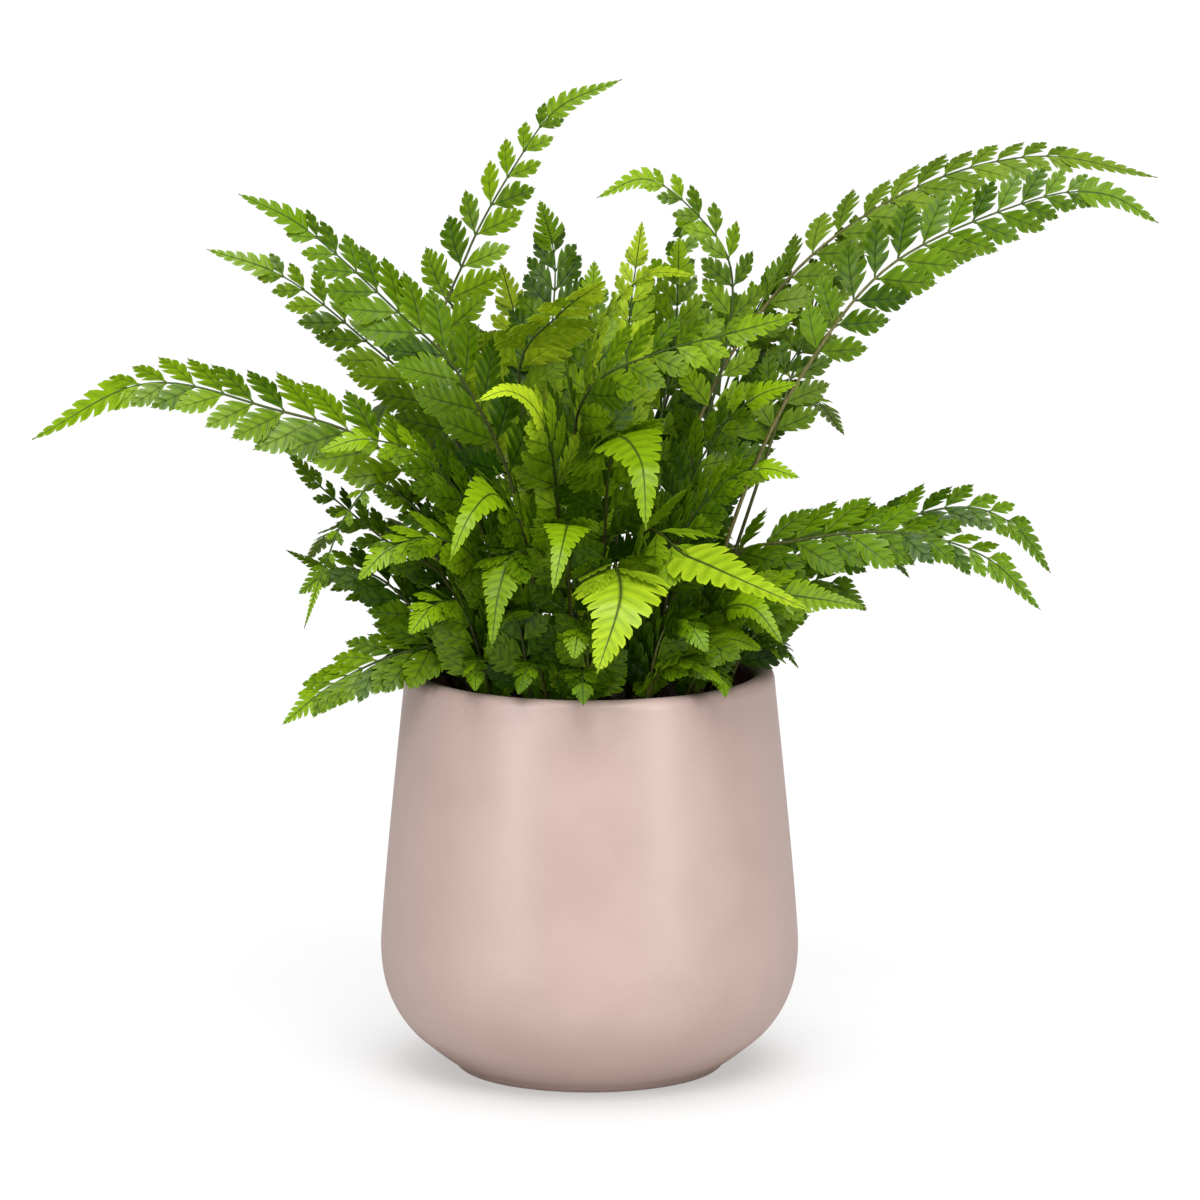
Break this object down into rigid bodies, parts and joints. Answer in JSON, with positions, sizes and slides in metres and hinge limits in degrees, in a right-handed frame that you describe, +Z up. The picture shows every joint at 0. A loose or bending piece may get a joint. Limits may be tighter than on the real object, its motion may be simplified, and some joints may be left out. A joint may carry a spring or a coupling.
{
  "type": "potted fern",
  "caption": "Small potted fern with arching fronds of toothed leaflets in a round tapered ceramic pot with a satin dusty-pink finish.",
  "frame": {"origin": "middle of the flat face under the pot", "axes": "+Z up, the plant's show side towards -Y, its longest fronds reaching out along X"},
  "size_m": [0.4472, 0.3005, 0.3941],
  "materials": {
    "pot_glaze": "satin glazed ceramic, dusty pink",
    "soil": "loose dark potting soil",
    "leaf_deep_green": "soft satin leaf, deep green",
    "leaf_green": "soft satin leaf, green",
    "leaf_young": "soft satin leaf, young yellow-green",
    "leaf_pale": "leaf seen from its duller, paler side"
  },
  "bodies": {
    "root": {"pot": "pot_glaze", "potting_soil": "soil", "frond_tall_left": "leaf_green", "frond_left_upper": "leaf_green", "frond_left_second": "leaf_young", "frond_long_left": "leaf_green", "frond_left_mid": "leaf_deep_green", "frond_left_droop": "leaf_green", "frond_left_low_thin": "leaf_green", "frond_left_over_rim": "leaf_deep_green", "frond_front_left_droop": "leaf_green", "frond_front_yellow": "leaf_young", "frond_front_bright": "leaf_young", "frond_centre_droop": "leaf_young", "frond_left_centre_droop": "leaf_green", "frond_right_long_back": "leaf_pale", "frond_right_long_front": "leaf_green", "frond_right_behind": "leaf_pale", "frond_right_inner": "leaf_deep_green", "frond_centre_right": "leaf_green", "frond_top_curl": "leaf_green", "frond_top_dark": "leaf_deep_green", "frond_top_back": "leaf_young", "frond_right_low_back": "leaf_deep_green", "frond_right_low_front": "leaf_green", "frond_right_rim": "leaf_green", "frond_front_right_rim": "leaf_green", "frond_front_mid": "leaf_green", "frond_centre_left": "leaf_young", "frond_centre_upper": "leaf_young", "frond_centre_low_right": "leaf_deep_green", "frond_centre_low_left": "leaf_green", "frond_mid_left": "leaf_deep_green", "frond_mid_right": "leaf_green", "frond_back_long": "leaf_green", "frond_back_long_right": "leaf_deep_green", "frond_back_long_left": "leaf_green", "frond_back_right": "leaf_green", "frond_back_left": "leaf_deep_green", "frond_back_low_right": "leaf_deep_green", "frond_back_low_left": "leaf_green", "frond_back_low": "leaf_green", "frond_back_low_middle": "leaf_young", "frond_back_upright_right": "leaf_deep_green", "frond_back_upright_left": "leaf_green", "frond_front_low_left": "leaf_green", "frond_front_low_inner_left": "leaf_deep_green", "frond_front_low_middle": "leaf_green", "frond_front_low_inner_right": "leaf_deep_green", "frond_front_low_right": "leaf_green", "frond_right_low_inner": "leaf_deep_green", "frond_left_low_inner": "leaf_deep_green", "frond_back_skirt_right": "leaf_green", "frond_back_skirt_left": "leaf_green", "frond_left_back_low": "leaf_green", "frond_upper_flat": "leaf_young", "frond_upper_young": "leaf_young", "frond_upper_middle": "leaf_green", "frond_upper_right": "leaf_deep_green", "frond_upper_inner": "leaf_green"}
  },
  "joints": []
}
